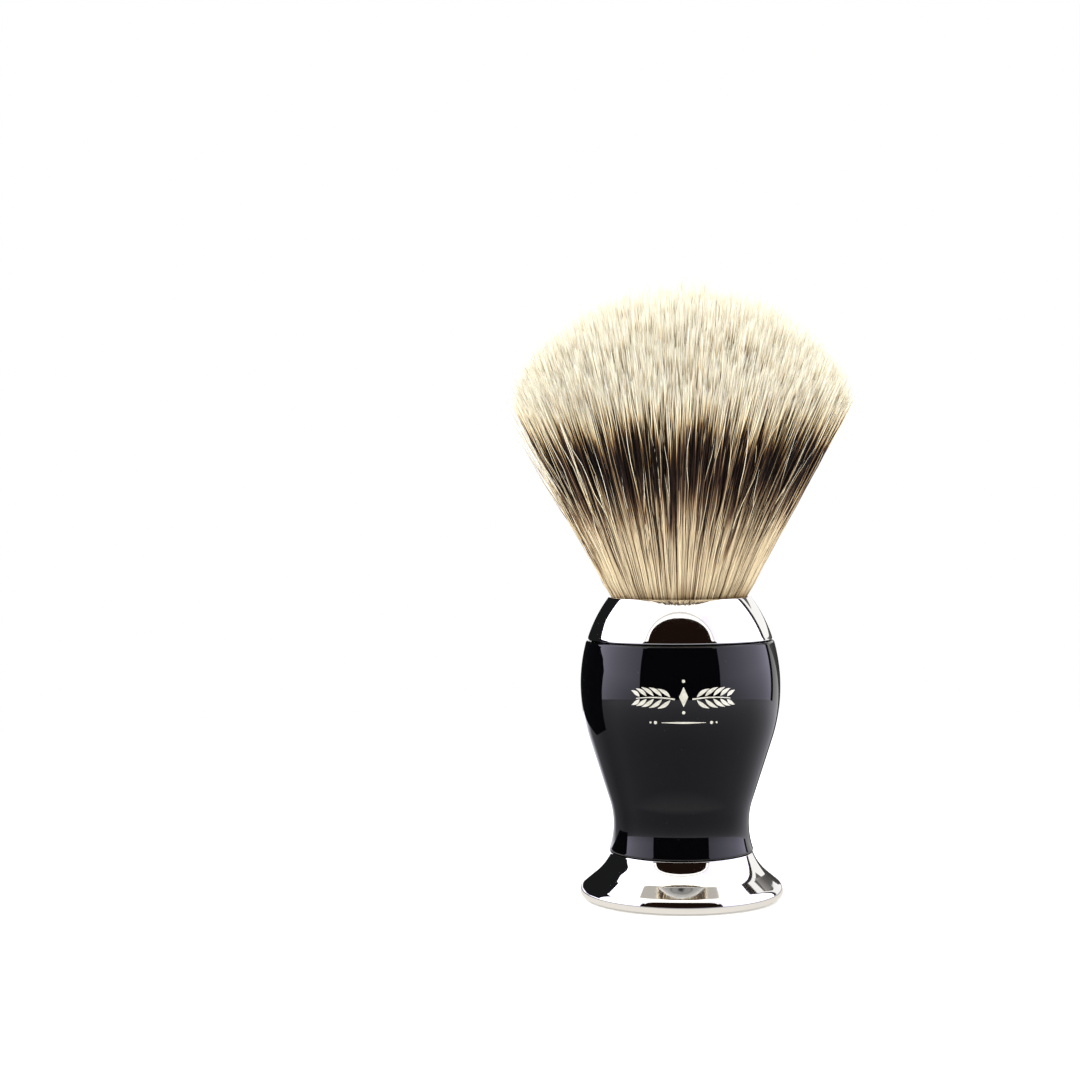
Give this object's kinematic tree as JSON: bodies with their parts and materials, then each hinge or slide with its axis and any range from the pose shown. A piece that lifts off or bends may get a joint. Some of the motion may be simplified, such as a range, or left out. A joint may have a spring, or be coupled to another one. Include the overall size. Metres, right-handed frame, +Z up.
{
  "type": "shaving brush",
  "caption": "Shaving brush with a wide fan of two-band hair, a chrome collar, a gloss black vase-shaped handle and a flared chrome foot.",
  "frame": {"origin": "middle of the face that the brush stands on", "axes": "+Z up the brush's axis towards the hair, -Y towards the viewer"},
  "size_m": [0.0618, 0.0618, 0.1092],
  "materials": {
    "chrome": "mirror-polished chrome plate",
    "black_resin": "high gloss, polished",
    "felt": "matte pressed felt",
    "steel": "zinc-plated satin",
    "brass": "machined",
    "rubber": "matte",
    "cured_adhesive": "amber, slightly cloudy",
    "thread": "matte twisted thread",
    "hair_root": "beige hair with brown and grey streaks",
    "hair_backbone": "beige hair darkening upwards",
    "hair_tips": "near-black band below creamy white tips, fine and soft"
  },
  "bodies": {
    "handle": {"base_pad": "felt", "base_foot": "chrome", "lock_nut": "steel", "spring_washer": "steel", "flat_washer": "steel", "tie_rod": "steel", "lower_gasket": "rubber", "handle_body": "black_resin", "upper_gasket": "rubber", "top_collar": "chrome", "knot_socket": "brass", "adhesive_bed": "cured_adhesive", "knot_plug": "cured_adhesive", "binding_thread": "thread", "bristle_root": "hair_root"},
    "backbone": {"bristle_backbone": "hair_backbone"},
    "tips": {"bristle_tips": "hair_tips"}
  },
  "joints": [
    {"name": "sway_sideways", "type": "hinge", "parent": "handle", "child": "backbone", "pos_m": [0, 0, 0.0539], "axis": [0, 1, 0], "range_deg": [-20, 20], "stiffness_Nm_per_rad": 0.3},
    {"name": "sway_forward", "type": "hinge", "parent": "backbone", "child": "tips", "pos_m": [0, 0, 0.0539], "axis": [1, 0, 0], "range_deg": [-20, 20], "stiffness_Nm_per_rad": 0.3}
  ]
}
